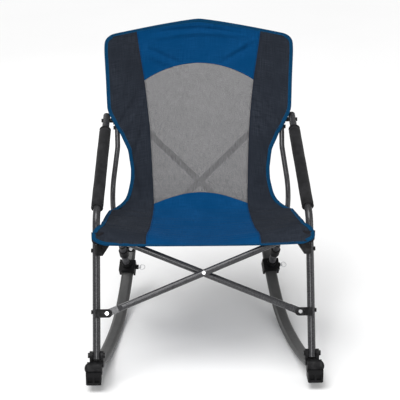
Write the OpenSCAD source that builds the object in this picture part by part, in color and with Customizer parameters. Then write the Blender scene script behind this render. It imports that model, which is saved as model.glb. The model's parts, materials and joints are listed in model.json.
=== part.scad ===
// Camp rocking chair: two tube side frames joined by a front and a rear pair of crossed bars,
// standing on two curved rocker rails, with a one-piece fabric sling for the back and seat.
// X is to the sitter's left, Y to the back, Z up. Millimetres.
// The origin is under the middle of the chair, on the floor.

/* [Side frame] */
// Diameter of the front leg and arm tube
leg_d = 22; // [18:0.5:26]
// Distance from the middle of the chair to the front leg's axis
leg_x = 304.5; // [280:0.5:330]
// Backward lean of the front leg, in degrees
leg_lean = 25; // [20:1:30]
// Height of the foot pin above the floor
foot_z = 98; // [90:1:110]
// Length of the front leg from the foot pin to the bend
leg_len = 391.5; // [370:0.5:410]
// Slope of the arm above the horizontal, in degrees
arm_slope = 23; // [18:1:28]
// Radius of the bend between the leg and the arm
arm_bend_r = 70; // [60:1:90]
// Diameter of the back upright and of the crossed bars
bar_d = 19; // [16:0.5:20]
// Diameter of the curved rear leg
rear_leg_d = 16; // [14:0.5:18]
// Wall of the legs, the arms, the front bars and the rails
wall = 1.6; // [1.2:0.1:2]
// Wall of the back uprights, the rear legs and the rear bars
rear_wall = 1.2; // [1:0.1:2]

/* [Arm pads] */
// Diameter of the foam sleeve
foam_d = 36; // [30:1:40]
// Length of the foam sleeve
foam_len = 348; // [300:1:360]

/* [Rocker rails] */
// Width of the flat oval rail, seen from above
rail_w = 38; // [34:1:42]
// Thickness of the flat oval rail
rail_t = 20; // [16:1:22]
// Radius of the rail's underside in front of its lowest point
rail_front_r = 1230; // [1150:10:1300]
// Radius of the rail's underside behind its lowest point
rail_rear_r = 450; // [440:5:480]
// Distance from the foot pin back to the rail's lowest point
rail_low = 340; // [330:1:350]
// Angle by which the rails turn in towards the back, in degrees
rail_toe = 7.1; // [5:0.1:8]
// Angle of the rail's tail above the horizontal, in degrees
rail_tail = 50; // [46:1:54]
// Angle along the rear arc at which the collar sits, in degrees
collar_angle = 38; // [36:0.5:40]

/* [Crossed bars] */
// Distance between the front bars' pivots, from side to side
front_span = 549.2; // [530:0.1:560]
// Height of the front bars' lower pivots, measured along the leg from the foot pin
front_low = 117.5; // [110:0.5:125]
// Height from the lower to the upper front pivots, along the leg
front_rise = 223.4; // [210:0.1:235]
// Distance between the rear bars' pivots, from side to side
rear_span = 444; // [430:1:450]
// Height of the rear bars' lower pivots above the floor
rear_low = 183; // [178:1:190]
// Height from the lower to the upper rear pivots, along their plane
rear_rise = 438; // [430:1:450]
// Backward lean of the rear bars' plane, in degrees
rear_lean = 5.4; // [4:0.1:7]

/* [Fabric] */
// Thickness of the woven panels
fabric_t = 2; // [1.5:0.1:3]
// Thickness of the mesh panel
mesh_t = 1.2; // [1:0.1:2]
// Width of the binding round the sling
binding_w = 10; // [8:0.5:14]
// Thickness of the binding
binding_t = 3.6; // [3:0.1:5]

/* [Fasteners] */
// Diameter of the rivets on which the bars turn
rivet_d = 6; // [5:0.5:8]
// Diameter of the frame bolts
bolt_d = 6; // [5:0.5:8]
// Diameter of the foot pin
foot_pin_d = 8; // [6:0.5:10]
// Diameter of the lock plunger
plunger_d = 8; // [6:0.5:10]
// Radial running clearance of a pin in its hole
run = 0.05; // [0.02:0.01:0.1]

/* [Hidden] */
$fn = 64;

LEFT = -1;
RIGHT = 1;
gap = 0.3;              // between surfaces that move past each other
foot_y = -326.6;         // the foot pin lies this far in front of the origin

// Front plane: across the chair and up along the front legs
front_theta = atan2(front_rise, front_span);
front_len = norm([front_span, front_rise]);
// Rear plane: across the chair and up behind the back
rear_y = foot_y + 598;
rear_theta = atan2(rear_rise, rear_span);
rear_len = norm([rear_span, rear_rise]);
bar_off = bar_d / 2 + 0.4; // each bar lies this far to one side of its plane

// Right side frame's points; the left side's are their mirror images
leg_dir = [0, sin(leg_lean), cos(leg_lean)];
foot = [leg_x, foot_y, foot_z];
knee = foot + leg_len * leg_dir;
arm_end = [288, knee[1] + 420, knee[2] + 420 * tan(arm_slope)];
arm_dir = (arm_end - knee) / norm(arm_end - knee);
foam_start = 38;        // along the arm from the bend point
leg_tip = 11;           // the leg goes this far past the foot pin
upright_mid = [256, foot_y + 585, 612];
upright_top = [280, foot_y + 672, 836];
upright_dir = (upright_top - upright_mid) / norm(upright_top - upright_mid);
upright_low = upright_mid - 34 * upright_dir;
rear_top = [255, foot_y + 554, 610];
rear_turn = [253, foot_y + 508, 552];
rear_seat = [274, foot_y + 404, 408];

// Rail frame: origin on the floor at the rail's lowest point, Y along the rail
rail_x = 312.5 - (rail_low + 30) * tan(rail_toe);
rail_tip = 35.5;        // the rail starts this far in front of the foot pin
front_arc = asin((rail_low + rail_tip) / rail_front_r);
rail_mid_r = rail_rear_r - rail_t / 2;
// The rear leg's lower end: a point over the rail, seen along the rail's normal
socket_h = rail_t / 2 + 3.5;
rail_along = (rail_mid_r - socket_h) * sin(collar_angle);
rear_foot = [
    rail_x - rail_along * sin(rail_toe),
    foot_y + rail_low + rail_along * cos(rail_toe),
    rail_rear_r - (rail_mid_r - socket_h) * cos(collar_angle)
];
rear_leg_dir = (rear_seat - rear_foot) / norm(rear_seat - rear_foot);
plunger_y = 8;          // along the rail from the collar's middle

// ---- Helpers ----

function unit(v) = v / norm(v);
function mix(a, b, k) = a + (b - a) * k;

// Puts the children's Z along a direction, with their X as near to x_dir as it can be
module place(at, z_dir, x_dir = [1, 0, 0]) {
    z = unit(z_dir);
    y = unit(cross(z, x_dir));
    x = cross(y, z);
    multmatrix([
        [x[0], y[0], z[0], at[0]],
        [x[1], y[1], z[1], at[1]],
        [x[2], y[2], z[2], at[2]],
        [0, 0, 0, 1]
    ])
        children();
}

// Right-side children as they are, or mirrored for the left side
module on_side(side) {
    mirror([side < 0 ? 1 : 0, 0, 0])
        children();
}

module front_plane() {
    translate([0, foot_y, foot_z])
        rotate([90 - leg_lean, 0, 0])
            children();
}

module rear_plane() {
    translate([0, rear_y, rear_low])
        rotate([90 - rear_lean, 0, 0])
            children();
}

// The rail's own frame on one side; it isn't mirrored, so the lock faces the same way on both
module rail_frame(side) {
    translate([side * rail_x, foot_y + rail_low, 0])
        rotate([0, 0, side * rail_toe])
            children();
}

// A frame on the rear arc's centreline: Z away from the floor side, Y along the rail
module rail_at(side, angle) {
    rail_frame(side)
        translate([0, 0, rail_rear_r])
            rotate([angle, 0, 0])
                translate([0, 0, -rail_mid_r])
                    children();
}

module ring(outer, inner, height) {
    difference() {
        cylinder(d = outer, h = height);
        translate([0, 0, -1])
            cylinder(d = inner, h = height + 2);
    }
}

// A straight solid or hollow bar from a to b
module bar_between(a, b, outer, inner = 0) {
    place(a, b - a)
        if (inner > 0)
            ring(outer, inner, norm(b - a));
        else
            cylinder(d = outer, h = norm(b - a));
}

// A tube's bend at corner b between straight runs to a and c
module bend(a, b, c, r, outer, inner) {
    from = unit(a - b);
    to = unit(c - b);
    turn = 180 - acos(from * to);
    reach = r * tan(turn / 2);
    centre = b + r / cos(turn / 2) * unit(from + to);
    arm = b + reach * from - centre;
    place(centre, cross(arm, b + reach * to - centre), arm)
        rotate_extrude(angle = turn)
            translate([r, 0])
                difference() {
                    circle(d = outer);
                    circle(d = inner);
                }
}

// A bead slightly thicker than the tube, over the butt between two of its runs
module weld(at, dir, outer, inner) {
    bead = 0.15;
    place(at - unit(dir), dir)
        ring(outer + 2 * bead, inner - 2 * bead, 2);
}

function bend_reach(a, b, c, r) = r * tan((180 - acos(unit(a - b) * unit(c - b))) / 2);

// A box between two points, its height along Z
module web(a, b, thick, tall) {
    flat = [b[0] - a[0], b[1] - a[1], 0];
    translate(a)
        rotate([0, 0, atan2(flat[1], flat[0])])
            translate([0, -thick / 2, -tall / 2])
                cube([norm(flat), thick, tall]);
}

// ---- Side frame ----

arm_bolt_at = arm_end - 24 * arm_dir;
low_bolt = front_low + 4;   // along the leg
high_bolt = 296;            // along the leg
spacer_x = upright_mid[0] + bar_d / 2 + 0.2;
rear_top_bolt = rear_top + 9 * unit(rear_turn - rear_top);

module leg_arm_tube(side) {
    reach = bend_reach(foot, knee, arm_end, arm_bend_r);
    color("#3a3b3f")
        on_side(side)
            difference() {
                union() {
                    bar_between(foot - leg_tip * leg_dir, knee - reach * leg_dir, leg_d, leg_d - 2 * wall);
                    bend(foot, knee, arm_end, arm_bend_r, leg_d, leg_d - 2 * wall);
                    bar_between(knee + reach * arm_dir, arm_end, leg_d, leg_d - 2 * wall);
                    weld(knee - reach * leg_dir, leg_dir, leg_d, leg_d - 2 * wall);
                    weld(knee + reach * arm_dir, arm_dir, leg_d, leg_d - 2 * wall);
                }
                // Foot pin, bracket bolts and arm bolt
                cross_hole(foot, foot_pin_d + 2 * run, leg_d + 4);
                cross_hole(foot + low_bolt * leg_dir, bolt_d, leg_d + 4);
                cross_hole(foot + high_bolt * leg_dir, bolt_d, leg_d + 4);
                cross_hole(arm_bolt_at, bolt_d, leg_d + 4);
            }
}

// A hole along X, centred on a point
module cross_hole(at, d, length) {
    translate([at[0] - length / 2, at[1], at[2]])
        rotate([0, 90, 0])
            cylinder(d = d, h = length);
}

module arm_foam(side) {
    bevel = 5;
    color("#1c1c1e")
        on_side(side)
            place(knee + foam_start * arm_dir, arm_dir)
                rotate_extrude()
                    polygon([
                        [leg_d / 2, 0], [foam_d / 2 - bevel, 0], [foam_d / 2, bevel],
                        [foam_d / 2, foam_len - bevel], [foam_d / 2 - bevel, foam_len], [leg_d / 2, foam_len]
                    ]);
}

module arm_plug(side) {
    color("#2c2d30")
        on_side(side)
            place(arm_end, arm_dir) {
                translate([0, 0, -14])
                    cylinder(d = leg_d - 2 * wall, h = 14);
                intersection() {
                    translate([0, 0, -7])
                        sphere(d = 26);
                    cylinder(d = leg_d, h = 10);
                }
            }
}

module back_upright(side) {
    color("#3a3b3f")
        on_side(side)
            difference() {
                bar_between(upright_low, upright_top, bar_d, bar_d - 2 * rear_wall);
                cross_hole(upright_arm, bolt_d, bar_d + 20);
            }
}

// The point on the upright at which the arm bolt crosses it
upright_arm = upright_mid + (arm_bolt_at[2] - upright_mid[2]) / upright_dir[2] * upright_dir;

module rear_leg(side) {
    reach_a = bend_reach(rear_top, rear_turn, rear_seat, 110);
    reach_b = bend_reach(rear_turn, rear_seat, rear_foot, 120);
    down = unit(rear_turn - rear_top);
    fore = unit(rear_seat - rear_turn);
    inner = rear_leg_d - 2 * rear_wall;
    color("#3a3b3f")
        on_side(side)
            difference() {
                union() {
                    bar_between(rear_top, rear_turn - reach_a * down, rear_leg_d, inner);
                    bend(rear_top, rear_turn, rear_seat, 110, rear_leg_d, inner);
                    bar_between(rear_turn + reach_a * fore, rear_seat - reach_b * fore, rear_leg_d, inner);
                    bend(rear_turn, rear_seat, rear_foot, 120, rear_leg_d, inner);
                    bar_between(rear_seat - reach_b * rear_leg_dir, rear_foot, rear_leg_d, inner);
                    weld(rear_turn - reach_a * down, down, rear_leg_d, inner);
                    weld(rear_turn + reach_a * fore, fore, rear_leg_d, inner);
                    weld(rear_seat - reach_b * fore, fore, rear_leg_d, inner);
                    weld(rear_seat - reach_b * rear_leg_dir, rear_leg_dir, rear_leg_d, inner);
                }
                cross_hole(rear_top_bolt, bolt_d, rear_leg_d + 4);
            }
}

ferrule_d = 22;

module rear_ferrule(side) {
    color("#3a3b3f")
        on_side(side)
            place(rear_foot, rear_leg_dir)
                ring(ferrule_d, rear_leg_d, 118);
}

// ---- Brackets ----

ear_t = 4;              // each ear of a bar bracket
flat_t = 5;             // the bars' flattened ends
ear_out = flat_t / 2 + gap + ear_t;

// Two ears round a bar's flattened end, with a slot for it; the pivot is at the origin
module bar_ears(inboard, outboard, tall) {
    difference() {
        union() {
            translate([-inboard, -tall / 2, -ear_out])
                cube([inboard + outboard, tall, 2 * ear_out]);
            translate([-inboard, 0, -ear_out])
                cylinder(d = tall, h = 2 * ear_out);
        }
        translate([-inboard - tall, -tall, -flat_t / 2 - gap])
            cube([inboard + tall + 13, 2 * tall, flat_t + 2 * gap]);
        translate([0, 0, -ear_out - 1])
            cylinder(d = rivet_d, h = 2 * ear_out + 2);
    }
}

module front_lower_bracket(side) {
    tall = 24;
    pivot_x = front_span / 2;
    color("#161617")
        on_side(side)
            front_plane()
                difference() {
                    union() {
                        translate([pivot_x, front_low, -side * bar_off])
                            bar_ears(3, leg_x - pivot_x - 3, tall);
                        translate([leg_x, front_low - tall / 2, 0])
                            rotate([-90, 0, 0])
                                saddle(leg_d, 32, tall);
                    }
                    leg_clearance();
                    translate([pivot_x + 10, low_bolt, 0])
                        rotate([0, 90, 0])
                            cylinder(d = bolt_d, h = 30);
                    // Room for the bar's end as it turns
                    translate([pivot_x, front_low, -side * bar_off - flat_t / 2 - gap])
                        cylinder(r = 13, h = flat_t + 2 * gap);
                }
}

// The inboard half of a thick ring
module saddle(bore, outer, height) {
    intersection() {
        cylinder(d = outer, h = height);
        translate([-outer, -outer / 2, 0])
            cube([outer + 2, outer, height]);
    }
}

module leg_clearance() {
    translate([leg_x, 0, 0])
        rotate([-90, 0, 0])
            cylinder(d = leg_d, h = leg_len);
}

cradle_pin_d = 8;

module front_cradle(side) {
    pivot_x = front_span / 2;
    pin_y = front_low + front_rise;
    off = side * bar_off;
    color("#161617")
        on_side(side)
            front_plane()
                difference() {
                    union() {
                        translate([0, 0, off - ear_out])
                            linear_extrude(2 * ear_out)
                                polygon([
                                    [leg_x - 4, high_bolt - 15], [leg_x - 17, high_bolt - 15],
                                    [pivot_x - 11, pin_y - 24], [pivot_x - 11, pin_y + 2],
                                    [leg_x - 4, pin_y + 2]
                                ]);
                        translate([leg_x, high_bolt - 15, 0])
                            rotate([-90, 0, 0])
                                saddle(leg_d, 32, 30);
                    }
                    leg_clearance();
                    translate([pivot_x + 8, high_bolt, 0])
                        rotate([0, 90, 0])
                            cylinder(d = bolt_d, h = 30);
                    // Slot for the bar's flattened end, open above and inboard
                    translate([pivot_x - 60, pin_y - 19, off - flat_t / 2 - gap])
                        cube([73, 60, flat_t + 2 * gap]);
                    // Notch in which the bar's pin rests, open above
                    translate([pivot_x, pin_y, off - ear_out - 1])
                        cylinder(d = cradle_pin_d + 2 * gap, h = 2 * ear_out + 2);
                    translate([pivot_x - cradle_pin_d / 2 - gap, pin_y, off - ear_out - 1])
                        cube([cradle_pin_d + 2 * gap, 20, 2 * ear_out + 2]);
                }
}

// The point on the rear leg level with the rear bars' lower pivots
rear_leg_low = rear_foot + (rear_low - rear_foot[2]) / rear_leg_dir[2] * rear_leg_dir;

// A point of the rear plane in the chair's frame
function rear_point(x, y, z) = [
    x,
    rear_y + y * sin(rear_lean) - z * cos(rear_lean),
    rear_low + y * cos(rear_lean) + z * sin(rear_lean)
];

module rear_lower_bracket(side) {
    tall = 22;
    pivot_x = rear_span / 2;
    off = -side * bar_off;
    color("#161617")
        on_side(side)
            difference() {
                union() {
                    place(rear_leg_low - 13 * rear_leg_dir, rear_leg_dir)
                        cylinder(d = 30, h = 26);
                    web(rear_leg_low, rear_point(pivot_x + 18, 0, off), 12, tall - 2);
                    rear_plane()
                        translate([pivot_x, 0, off])
                            bar_ears(3, 22, tall);
                }
                place(rear_leg_low - 60 * rear_leg_dir, rear_leg_dir)
                    cylinder(d = ferrule_d, h = 130);
                rear_plane()
                    translate([pivot_x - 40, -30, off - flat_t / 2 - gap])
                        cube([53, 80, flat_t + 2 * gap]);
            }
}

rear_pivot_up = rear_point(rear_span / 2, rear_rise, 0);
upright_back = upright_mid + (rear_pivot_up[2] - upright_mid[2]) / upright_dir[2] * upright_dir;

module rear_upper_bracket(side) {
    pivot_x = rear_span / 2;
    off = side * bar_off;
    plate_z = off - flat_t / 2 - gap - ear_t;
    tab_t = 7;
    tab_tall = 16;
    tab_y = upright_back[1] - rear_top_bolt[1];
    tab_z = upright_back[2] - rear_top_bolt[2];
    color("#161617")
        on_side(side)
            difference() {
                union() {
                    place(upright_back - 16 * upright_dir, upright_dir)
                        cylinder(d = 27, h = 32);
                    web(upright_back, rear_point(pivot_x + 20, rear_rise, plate_z + ear_t / 2), 9, 20);
                    rear_plane()
                        translate([pivot_x - 8, rear_rise - 13, plate_z])
                            cube([32, 26, ear_t]);
                    // Forward tab for the rear leg's top
                    translate([rear_top_bolt[0] - rear_leg_d / 2 - tab_t, rear_top_bolt[1], rear_top_bolt[2]])
                        rotate([atan2(tab_z, tab_y), 0, 0]) {
                            translate([0, 0, -tab_tall / 2])
                                cube([tab_t, norm([tab_y, tab_z]) + 4, tab_tall]);
                            rotate([0, 90, 0])
                                cylinder(d = tab_tall, h = tab_t);
                        }
                }
                place(upright_low - 40 * upright_dir, upright_dir)
                    cylinder(d = bar_d, h = 200);
                place(rear_top - 30 * unit(rear_turn - rear_top), rear_turn - rear_top)
                    cylinder(d = rear_leg_d, h = 80);
                cross_hole(rear_top_bolt, bolt_d, 80);
                cross_hole(upright_arm, bolt_d, 60);
                // Keeps clear of the bar's flattened end
                rear_plane()
                    translate([pivot_x - 60, rear_rise - 30, off - flat_t / 2 - gap])
                        cube([76, 200, 60]);
                rear_plane()
                    translate([pivot_x, rear_rise, plate_z - 1])
                        cylinder(d = rivet_d, h = 60);
            }
}

// ---- Fasteners ----

module bolt(length, head_d = 12, head_t = 4) {
    cylinder(d = bolt_d, h = length);
    translate([0, 0, -head_t])
        cylinder(d = head_d, h = head_t);
}

// A bolt along -X, its head's underside at the point
module bolt_inward(at, length) {
    translate(at)
        rotate([0, -90, 0])
            bolt(length);
}

module frame_bolts(side) {
    color("#0f0f10")
        on_side(side) {
            bolt_inward(foot + low_bolt * leg_dir + [leg_d / 2, 0, 0], leg_d + 7);
            bolt_inward(foot + high_bolt * leg_dir + [leg_d / 2, 0, 0], leg_d + 7);
            bolt_inward(arm_bolt_at + [leg_d / 2, 0, 0], arm_bolt_at[0] - upright_arm[0] + leg_d / 2 + bar_d / 2);
            // Spacer between the arm and the upright
            translate([upright_arm[0] + bar_d / 2, arm_bolt_at[1], arm_bolt_at[2]])
                rotate([0, 90, 0])
                    ring(14, bolt_d, arm_bolt_at[0] - leg_d / 2 - upright_arm[0] - bar_d / 2);
            bolt_inward(rear_top_bolt + [rear_leg_d / 2, 0, 0], rear_leg_d + 6);
        }
}

module rivet(grip, head_d = 11) {
    head_t = 2;
    translate([0, 0, -grip / 2])
        cylinder(d = rivet_d, h = grip);
    for (z = [-grip / 2 - head_t, grip / 2])
        translate([0, 0, z])
            cylinder(d = head_d, h = head_t);
}

module pivot_rivets(side) {
    color("#c9cacc")
        on_side(side) {
            front_plane()
                translate([front_span / 2, front_low, -side * bar_off])
                    rivet(2 * ear_out);
            rear_plane()
                translate([rear_span / 2, 0, -side * bar_off])
                    rivet(2 * ear_out);
            // Stub in the upper bracket, beside the bar's end
            rear_plane()
                translate([rear_span / 2, rear_rise, side * bar_off - flat_t / 2 - gap - ear_t / 2])
                    stub();
        }
}

module stub() {
    translate([0, 0, -ear_t / 2])
        cylinder(d = rivet_d, h = ear_t);
    translate([0, 0, -ear_t / 2 - 2])
        cylinder(d = 11, h = 2);
}

// ---- Crossed bars ----

// A tube with flattened ends, from the pivot at the origin to the one at [length, 0, 0]
module crossed_bar(length, mid_hole, thick) {
    flat_len = 34;
    taper = 16;
    difference() {
        union() {
            translate([flat_len + taper, 0, 0])
                rotate([0, 90, 0])
                    ring(bar_d, bar_d - 2 * thick, length - 2 * flat_len - 2 * taper);
            for (end = [0, 1])
                translate([end * length, 0, 0])
                    mirror([end, 0, 0]) {
                        translate([0, 0, -flat_t / 2])
                            cylinder(d = 20, h = flat_t);
                        translate([0, -10, -flat_t / 2])
                            cube([flat_len, 20, flat_t]);
                        taper_end(flat_len, taper);
                    }
        }
        for (x = [0, length])
            translate([x, 0, -flat_t])
                cylinder(d = rivet_d + 2 * run, h = 2 * flat_t);
        if (mid_hole > 0)
            translate([length / 2, 0, -bar_d])
                cylinder(d = mid_hole, h = 2 * bar_d);
    }
}

// The stretch in which the tube narrows to its flattened end
module taper_end(from, length) {
    // A little steeper than the tube needs, so that the cut ends before the tube begins
    slope = atan2((bar_d - flat_t) / 2 + 0.5, length);
    difference() {
        translate([from, 0, 0])
            rotate([0, 90, 0])
                cylinder(d = bar_d, h = length);
        for (m = [0, 1])
            mirror([0, 0, m])
                translate([from, -bar_d, flat_t / 2])
                    rotate([0, -slope, 0])
                        translate([-bar_d, 0, 0])
                            cube([3 * bar_d, 2 * bar_d, bar_d]);
    }
}

// Bar a runs from the left side's lower pivot to the right cradle, bar b the other way
module front_bar_at(side) {
    front_plane()
        translate([side * front_span / 2, front_low, -side * bar_off])
            rotate([0, 0, side < 0 ? front_theta : 180 - front_theta])
                children();
}

module rear_bar_at(side) {
    rear_plane()
        translate([side * rear_span / 2, 0, -side * bar_off])
            rotate([0, 0, side < 0 ? rear_theta : 180 - rear_theta])
                children();
}

module front_bar(side) {
    color("#3a3b3f")
        front_bar_at(side)
            crossed_bar(front_len, rivet_d + (side > 0 ? 2 * run : 0), wall);
}

module front_bar_pin(side) {
    color("#c9cacc")
        front_bar_at(side)
            translate([front_len, 0, 0]) {
                translate([0, 0, -ear_out - 1])
                    cylinder(d = rivet_d + 2 * run, h = 2 * ear_out + 2);
                for (z = [-ear_out - 1, flat_t / 2])
                    translate([0, 0, z])
                        cylinder(d = cradle_pin_d, h = ear_out + 1 - flat_t / 2);
            }
}

module front_crossing_rivet() {
    color("#c9cacc")
        front_plane()
            translate([0, front_low + front_rise / 2, 0]) {
                rivet(2 * bar_off + bar_d);
                // Washer between the bars
                translate([0, 0, -0.3])
                    cylinder(d = 14, h = 0.6);
            }
}

module rear_bar(side) {
    color("#3a3b3f")
        rear_bar_at(side)
            crossed_bar(rear_len, side < 0 ? rivet_d : 0, rear_wall);
}

// The rear pair's crossing is open: the rivet holds bar c only
module rear_crossing_rivet() {
    color("#c9cacc")
        rear_bar_at(LEFT)
            translate([rear_len / 2, 0, 0]) {
                translate([0, 0, -bar_d / 2 + 0.2])
                    cylinder(d = rivet_d, h = bar_d - 0.2);
                translate([0, 0, bar_d / 2])
                    cylinder(d = 11, h = 2);
            }
}

// ---- Rocker rails ----

module stadium(thick, wide) {
    flat = wide - thick;
    square([thick, flat], center = true);
    for (s = [-1, 1])
        translate([0, s * flat / 2])
            circle(d = thick);
}

// An arc of rail from the lowest point back to an angle, or forward to it with ahead = 1
module rail_arc(r, angle, inset = 0, ahead = 0) {
    mirror([0, ahead, 0])
        translate([0, 0, r])
            rotate([0, 90, 0])
                rotate_extrude(angle = angle)
                    translate([r - rail_t / 2, 0])
                        difference() {
                            stadium(rail_t, rail_w);
                            if (inset > 0)
                                stadium(rail_t - 2 * inset, rail_w - 2 * inset);
                        }
}

module rocker_rail(side) {
    color("#4a4a4c")
        difference() {
            rail_frame(side) {
                rail_arc(rail_front_r, front_arc, wall, 1);
                rail_arc(rail_rear_r, rail_tail, wall);
            }
            rail_at(side, collar_angle)
                translate([-rail_w, plunger_y, 0])
                    rotate([0, 90, 0])
                        cylinder(d = plunger_d + 0.6, h = 2 * rail_w);
        }
}

module tail_plug(side) {
    color("#161617")
        rail_at(side, rail_tail) {
            rotate([-90, 0, 0])
                linear_extrude(4)
                    rotate(90)
                        stadium(rail_t, rail_w);
            translate([0, -14, 0])
                rotate([-90, 0, 0])
                    linear_extrude(14)
                        rotate(90)
                            stadium(rail_t - 2 * wall - 0.4, rail_w - 2 * wall - 0.4);
        }
}

// Foot block: holds the rail's front end and carries the leg between two ears
block_x = 313;          // the block's middle, from the middle of the chair
block_y = -18;          // the block's middle, from the foot pin
block_low = 25;         // the block's underside
ear_gap = leg_d / 2 + 0.6;

module domed_barrel(d, straight) {
    rotate_extrude()
        intersection() {
            union() {
                square([d / 2, straight]);
                translate([0, straight - d / 2 + 8])
                    circle(d = d);
            }
            square([d / 2, straight + 8]);
        }
}

module foot_block(side) {
    color("#161617")
        difference() {
            union() {
                translate([side * leg_x, foot_y, 0]) {
                    // Ears
                    for (s = [-1, 1])
                        translate([s * (ear_gap + 4), 0, foot_z])
                            rotate([0, 90, 0])
                                cylinder(d = 24, h = 8, center = true);
                    for (s = [-1, 1])
                        translate([s * (ear_gap + 4), 0, foot_z - 14])
                            cube([8, 24, 28], center = true);
                    // Neck
                    translate([-ear_gap - 8, -20, 70])
                        cube([2 * ear_gap + 16, 36, 12]);
                }
                translate([side * block_x, foot_y + block_y, 0]) {
                    // Barrel with a domed outboard end
                    translate([-side * 24, 0, 66])
                        rotate([0, side * 90, 0])
                            domed_barrel(36, 42);
                    translate([-21.5, -22, block_low])
                        cube([43, 44, 38]);
                }
            }
            // The leg's end turns in here
            translate([side * leg_x - ear_gap, foot_y, foot_z])
                rotate([0, 90, 0])
                    cylinder(r = 17, h = 2 * ear_gap);
            cross_hole([side * leg_x, foot_y, foot_z], foot_pin_d, 60);
            // Socket for the rail
            rail_frame(side)
                rail_arc(rail_front_r, front_arc, 0, 1);
            // Two square recesses in the front
            for (s = [-1, 1])
                translate([side * block_x + s * 9.5 - 7, foot_y + block_y - 25, block_low + 7])
                    cube([14, 8, 16]);
        }
}

module foot_pin(side) {
    color("#0f0f10")
        translate([side * leg_x, foot_y, foot_z])
            rotate([0, 90, 0]) {
                cylinder(d = foot_pin_d, h = 2 * ear_gap + 16, center = true);
                for (s = [-1, 1])
                    translate([0, 0, s * (ear_gap + 8 + 2.5)])
                        cylinder(d = 15, h = 5, center = true);
            }
}

module foot_pad(side) {
    color("#232325")
        translate([side * block_x, foot_y + block_y, block_low - 1.5])
            cube([38, 38, 3], center = true);
}

// ---- Rear collar and its lock ----

collar_len = 40;
collar_side = rail_w / 2 + 0.8;
cheek_t = 6;

module rear_collar(side) {
    top = rail_t / 2 + 0.6;
    color("#161617")
        difference() {
            union() {
                rail_at(side, collar_angle) {
                    translate([-collar_side - cheek_t, -collar_len / 2, top])
                        cube([2 * (collar_side + cheek_t), collar_len, 15]);
                    for (s = [-1, 1])
                        translate([s * (collar_side + cheek_t / 2), 0, 6])
                            cube([cheek_t, collar_len, 26], center = true);
                    // Housing of the plunger
                    translate([collar_side + cheek_t - 1, plunger_y, 0])
                        rotate([0, 90, 0])
                            cylinder(d = 15, h = 9);
                }
                on_side(side)
                    place(rear_foot + 2 * rear_leg_dir, rear_leg_dir)
                        cylinder(d = 29, h = 26);
            }
            on_side(side)
                place(rear_foot, rear_leg_dir)
                    cylinder(d = ferrule_d, h = 60);
            rail_at(side, collar_angle)
                translate([0, plunger_y, 0])
                    rotate([0, 90, 0])
                        cylinder(d = plunger_d + 2 * run, h = 60);
        }
}

plunger_nose = rail_w / 2 + gap;
plunger_end = collar_side + cheek_t + 8 + 3;
ring_wire = 2;
ring_r = 8.7;
// The ring's curve carries its wire this far across the eye
ring_sag = ring_r - sqrt(pow(ring_r, 2) - pow(plunger_d / 2, 2));

module lock_plunger(side) {
    color("#c9cacc")
        rail_at(side, collar_angle)
            translate([plunger_nose, plunger_y, 0])
                rotate([0, 90, 0])
                    difference() {
                        cylinder(d = plunger_d, h = plunger_end - plunger_nose + 5);
                        // Eye for the ring
                        translate([0, -10, plunger_end - plunger_nose + 1])
                            rotate([-90, 0, 0])
                                cylinder(d = ring_wire + ring_sag + 0.4, h = 20);
                    }
}

module pull_ring(side) {
    color("#d6d7d9")
        rail_at(side, collar_angle)
            translate([plunger_end + 1 + ring_r - ring_sag / 2, plunger_y, 0])
                rotate_extrude()
                    translate([ring_r, 0])
                        circle(d = ring_wire);
}

// ---- Fabric ----
// The sling is a surface: s runs down the back and forward along the seat, x runs across.

sling_end = 870;

// s, half width, Y behind the foot pin, Z: the sling's side edge
edge = [
    [0, 268, 658, 872], [8, 284, 655, 865], [22, 292, 651, 850], [50, 293, 642, 821],
    [120, 289, 615, 744], [170, 287, 596, 691], [207, 285, 575, 656], [225, 279, 561, 642],
    [258, 262, 541, 616], [285, 247, 525, 595], [340, 221, 500, 546], [400, 212, 468, 497],
    [440, 213, 447, 465], [480, 221, 425, 433], [500, 228, 412, 418], [520, 242, 397, 405],
    [540, 262, 380, 399], [560, 277, 364, 398], [620, 285, 305, 404], [735, 288, 190, 430],
    [775, 290, 153, 437], [788, 294, 140, 439], [802, 303, 128, 437], [825, 313, 115, 427],
    [845, 317, 109, 412], [860, 309, 107, 400], [870, 284, 105, 390]
];
// s, Y behind the foot pin, Z: the sling's middle
middle = [
    [0, 690, 913], [60, 674, 845], [120, 655, 780], [207, 622, 690], [285, 585, 612],
    [340, 555, 560], [400, 520, 505], [440, 494, 470], [480, 464, 438], [520, 430, 410],
    [560, 392, 392], [620, 333, 382], [735, 216, 379], [825, 130, 386], [870, 105, 386]
];
// s, x: the seam between the middle panels and the side panels
seam = [
    [0, 194], [40, 189], [95, 180], [155, 170], [210, 163], [290, 154], [420, 147],
    [536, 142], [620, 147], [735, 154], [795, 162], [870, 164]
];

function column(table, k) = [for (row = table) [row[0], row[k]]];
edge_x = column(edge, 1);
edge_y = column(edge, 2);
edge_z = column(edge, 3);
middle_y = column(middle, 1);
middle_z = column(middle, 2);

function half_width(s) = lookup(s, edge_x);
function seam_x(s) = lookup(s, seam);
// How sharply a row bends from its middle up to its edge
function row_power(s) = lookup(s, [[0, 1.2], [150, 2.2], [560, 2.2], [795, 1.6], [850, 1.6], [870, 3]]);
function sling(s, x) =
    let (k = pow(min(1, abs(x) / half_width(s)), row_power(s)))
    [
        x,
        foot_y + mix(lookup(s, middle_y), lookup(s, edge_y), k),
        mix(lookup(s, middle_z), lookup(s, edge_z), k)
    ];
// Towards the sitter
function sling_normal(s, x) =
    let (s0 = max(0, s - 6), s1 = min(sling_end, s + 6))
    unit(cross(sling(s1, x) - sling(s0, x), sling(s, x + 2) - sling(s, x - 2)));

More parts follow.
